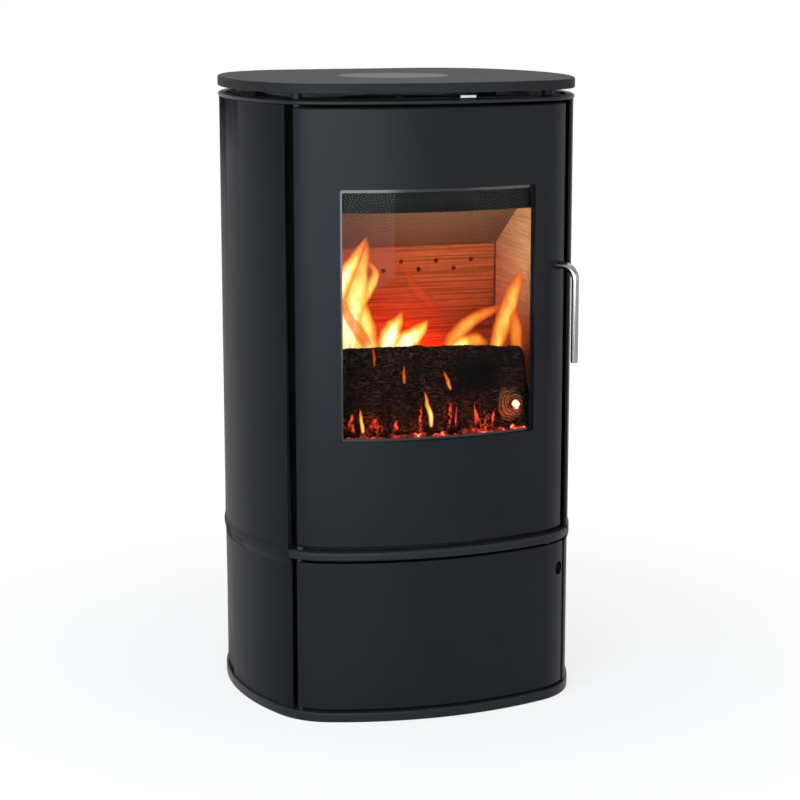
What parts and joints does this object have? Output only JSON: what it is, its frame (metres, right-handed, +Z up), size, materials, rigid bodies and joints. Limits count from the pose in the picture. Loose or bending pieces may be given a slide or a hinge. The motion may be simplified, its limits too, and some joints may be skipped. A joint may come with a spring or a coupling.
{
  "type": "wood stove",
  "caption": "Freestanding curved steel wood stove with a glazed firebox door, hanging handle, storage door below and air control.",
  "frame": {"origin": "floor level, under the middle of the body", "axes": "+Z up, the doors face -Y, +X to the right of someone facing the doors"},
  "size_m": [0.5632, 0.525, 1],
  "materials": {
    "body_paint": "fine matt high-temperature paint",
    "top_paint": "fine matt high-temperature paint, worn lighter",
    "inner_paint": "matt black",
    "cast_iron": "blackened, rough",
    "stainless": "bright polished along its length",
    "bare_steel": "dull, brushed",
    "firebrick": "dry, sawn with fine lines",
    "rope_seal": "woven mineral fibre",
    "glass": "clear, slightly smoked",
    "charred_log": "charred, cracked, glowing in the cracks",
    "embers": "glowing coals"
  },
  "bodies": {
    "stove_body": {"base_plate": "body_paint", "side_panel_left": "body_paint", "side_panel_right": "body_paint", "mid_deck": "body_paint", "top_ring": "body_paint", "top_plate": "top_paint", "rear_panel": "inner_paint", "storage_wall_left": "inner_paint", "storage_wall_right": "inner_paint", "firebox_shell": "inner_paint", "firebox_floor": "inner_paint", "firebox_roof": "inner_paint", "hearth_rail_left": "inner_paint", "hearth_rail_right": "inner_paint", "front_frame": "cast_iron", "flue_blank": "cast_iron", "rear_flue_collar": "cast_iron", "airwash_deflector": "cast_iron", "grate": "cast_iron", "heat_shield": "bare_steel", "latch_keeper": "bare_steel", "catch_magnet": "bare_steel", "slide_screw_left": "bare_steel", "slide_screw_right": "bare_steel", "hinge_pin_bottom": "bare_steel", "hinge_pin_top": "bare_steel", "lower_hinge_pin_bottom": "bare_steel", "lower_hinge_pin_top": "bare_steel", "brick_back": "firebrick", "brick_left": "firebrick", "brick_right": "firebrick", "brick_left_front": "firebrick", "brick_right_front": "firebrick", "hearth_brick": "firebrick", "baffle_plate": "firebrick", "log": "charred_log", "ember_bed": "embers"},
    "main_door": {"door_casting": "body_paint", "door_glass": "glass", "glass_gasket": "rope_seal", "glass_retainer_left": "bare_steel", "glass_retainer_right": "bare_steel", "door_gasket": "rope_seal", "handle_bush": "inner_paint"},
    "door_handle": {"handle": "stainless", "latch_tongue": "bare_steel", "latch_nut": "bare_steel"},
    "storage_door": {"lower_door": "body_paint"},
    "air_control": {"air_slide": "bare_steel", "air_knob": "stainless"},
    "flue_lid": {"flue_cover": "top_paint"},
    "ash_drawer": {"ash_pan": "bare_steel"}
  },
  "joints": [
    {"name": "main_door_hinge", "type": "hinge", "parent": "stove_body", "child": "main_door", "pos_m": [-0.21435, -0.19377, 0.62], "axis": [0, 0, -1], "range_deg": [0, 110]},
    {"name": "handle_turn", "type": "hinge", "parent": "main_door", "child": "door_handle", "pos_m": [0.20259, -0.21201, 0.7098], "axis": [0.5736, -0.8191, 0], "range_deg": [0, 60]},
    {"name": "storage_door_hinge", "type": "hinge", "parent": "stove_body", "child": "storage_door", "pos_m": [-0.21704, -0.19749, 0.14], "axis": [0, 0, -1], "range_deg": [0, 100]},
    {"name": "air_control_slide", "type": "slide", "parent": "stove_body", "child": "air_control", "axis": [1, 0, 0], "range_m": [-0.087, 0.013]},
    {"name": "flue_cover_lift", "type": "slide", "parent": "stove_body", "child": "flue_lid", "axis": [0, 0, 1], "range_m": [0, 0.06]},
    {"name": "ash_pan_draw", "type": "slide", "parent": "stove_body", "child": "ash_drawer", "axis": [0, -1, 0], "range_m": [0, 0.05]}
  ]
}
